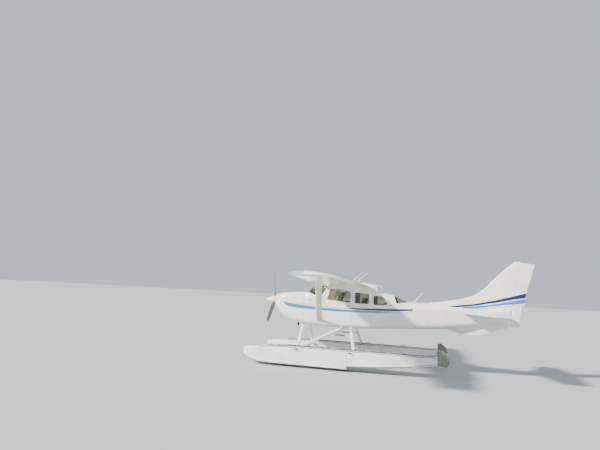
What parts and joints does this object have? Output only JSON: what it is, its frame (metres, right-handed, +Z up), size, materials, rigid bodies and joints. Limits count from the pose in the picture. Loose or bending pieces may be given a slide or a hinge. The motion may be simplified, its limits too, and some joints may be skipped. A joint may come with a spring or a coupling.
{
  "type": "high-wing utility floatplane",
  "caption": "Six-seat high-wing propeller aircraft on straight floats, with opening doors, hinged control surfaces, flaps, turning propeller and water rudders.",
  "frame": {"origin": "on the floor under the middle of the aircraft's box, with the floats' keels on the floor", "axes": "+X aft along the fuselage, +Y to starboard along the wing, +Z up"},
  "size_m": [8.785, 10.92, 3.545],
  "materials": {
    "white_paint": "gloss",
    "float_paint": "gloss",
    "strut_paint": "satin",
    "blade_paint": "satin",
    "engine_metal": "matte",
    "bare_aluminium": "satin",
    "bare_steel": "satin",
    "tinted_glazing": "polished",
    "dark_trim": "matte",
    "carpet": "matte",
    "seat_cover": "matte"
  },
  "bodies": {
    "airframe": {"cowling": "white_paint", "engine_block": "engine_metal", "firewall": "bare_aluminium", "cabin_shell": "white_paint", "cabin_roof": "white_paint", "windshield": "tinted_glazing", "rear_window": "tinted_glazing", "window_port_middle": "tinted_glazing", "window_port_rear": "tinted_glazing", "window_starboard_front": "tinted_glazing", "cabin_floor": "carpet", "seat_front_port": "seat_cover", "seat_front_starboard": "seat_cover", "seat_middle_port": "seat_cover", "seat_middle_starboard": "seat_cover", "seat_rear": "seat_cover", "instrument_panel": "dark_trim", "rear_bulkhead": "carpet", "tail_cone": "white_paint", "fin": "white_paint", "ventral_fin": "white_paint", "stabilizer_port": "white_paint", "stabilizer_starboard": "white_paint", "wing_port": "white_paint", "wing_starboard": "white_paint", "wing_strut_port": "strut_paint", "wing_strut_starboard": "strut_paint", "front_strut_port": "strut_paint", "front_strut_starboard": "strut_paint", "rear_strut_port": "strut_paint", "rear_strut_starboard": "strut_paint", "diagonal_strut_port": "strut_paint", "diagonal_strut_starboard": "strut_paint", "spreader_bar_front": "strut_paint", "spreader_bar_rear": "strut_paint", "foot_step_port": "bare_steel", "foot_step_starboard": "bare_steel", "float_port": "float_paint", "float_starboard": "float_paint", "aerial_roof_front": "white_paint", "aerial_roof_rear": "white_paint", "aerial_tail": "white_paint"},
    "propeller": {"propeller": "blade_paint", "spinner": "white_paint"},
    "rudder": {"rudder": "white_paint"},
    "elevator": {"elevator": "white_paint"},
    "flap_port": {"flap_port": "white_paint"},
    "flap_starboard": {"flap_starboard": "white_paint"},
    "aileron_port": {"aileron_port": "white_paint"},
    "aileron_starboard": {"aileron_starboard": "white_paint"},
    "pilot_door": {"pilot_door": "white_paint", "door_glass_pilot": "tinted_glazing"},
    "cargo_door_front": {"cargo_door_front": "white_paint", "door_glass_cargo_front": "tinted_glazing"},
    "cargo_door_rear": {"cargo_door_rear": "white_paint", "door_glass_cargo_rear": "tinted_glazing"},
    "water_rudder_port": {"water_rudder_port": "bare_aluminium"},
    "water_rudder_starboard": {"water_rudder_starboard": "bare_aluminium"}
  },
  "joints": [
    {"name": "propeller_spin", "type": "hinge", "parent": "airframe", "child": "propeller", "pos_m": [-3.8475, 0, 1.985], "axis": [1, 0, 0], "continuous": true},
    {"name": "rudder_turn", "type": "hinge", "parent": "airframe", "child": "rudder", "pos_m": [3.7575, 0, 1.985], "axis": [0.1724, 0, 0.985], "range_deg": [-24, 24]},
    {"name": "elevator_turn", "type": "hinge", "parent": "airframe", "child": "elevator", "pos_m": [3.2225, 0, 1.9], "axis": [0, 1, 0], "range_deg": [-25, 20]},
    {"name": "flap_port_turn", "type": "hinge", "parent": "airframe", "child": "flap_port", "pos_m": [-0.7896, -0.6, 2.43971], "axis": [0, 0.9995, -0.0304], "range_deg": [0, 40]},
    {"name": "flap_starboard_turn", "type": "hinge", "parent": "airframe", "child": "flap_starboard", "pos_m": [-0.7896, 0.6, 2.43971], "axis": [0, 0.9995, 0.0304], "range_deg": [0, 40]},
    {"name": "aileron_port_turn", "type": "hinge", "parent": "airframe", "child": "aileron_port", "pos_m": [-0.75415, -2.575, 2.61966], "axis": [0.0677, 0.997, -0.0381], "range_deg": [-18, 18]},
    {"name": "aileron_starboard_turn", "type": "hinge", "parent": "airframe", "child": "aileron_starboard", "pos_m": [-0.75415, 2.575, 2.61966], "axis": [-0.0677, 0.997, 0.0381], "range_deg": [-18, 18]},
    {"name": "pilot_door_open", "type": "hinge", "parent": "airframe", "child": "pilot_door", "pos_m": [-2.0375, -0.59, 1.6], "axis": [0, 0, 1], "range_deg": [-75, 0]},
    {"name": "cargo_door_front_open", "type": "hinge", "parent": "airframe", "child": "cargo_door_front", "pos_m": [-1.0735, 0.59, 1.6], "axis": [0, 0, -1], "range_deg": [-90, 0]},
    {"name": "cargo_door_rear_open", "type": "hinge", "parent": "airframe", "child": "cargo_door_rear", "pos_m": [0.0845, 0.547, 1.6], "axis": [0, 0, 1], "range_deg": [-90, 0]},
    {"name": "water_rudder_port_turn", "type": "hinge", "parent": "airframe", "child": "water_rudder_port", "pos_m": [1.5875, -1.18, 0.5], "axis": [0, 0, 1], "range_deg": [-30, 30]},
    {"name": "water_rudder_starboard_turn", "type": "hinge", "parent": "airframe", "child": "water_rudder_starboard", "pos_m": [1.5875, 1.18, 0.5], "axis": [0, 0, 1], "range_deg": [-30, 30]}
  ],
  "couplings": [
    {"joint": "flap_starboard_turn", "follows": "flap_port_turn", "ratio": 1},
    {"joint": "aileron_starboard_turn", "follows": "aileron_port_turn", "ratio": -1},
    {"joint": "water_rudder_port_turn", "follows": "rudder_turn", "ratio": 1.25},
    {"joint": "water_rudder_starboard_turn", "follows": "rudder_turn", "ratio": 1.25}
  ]
}
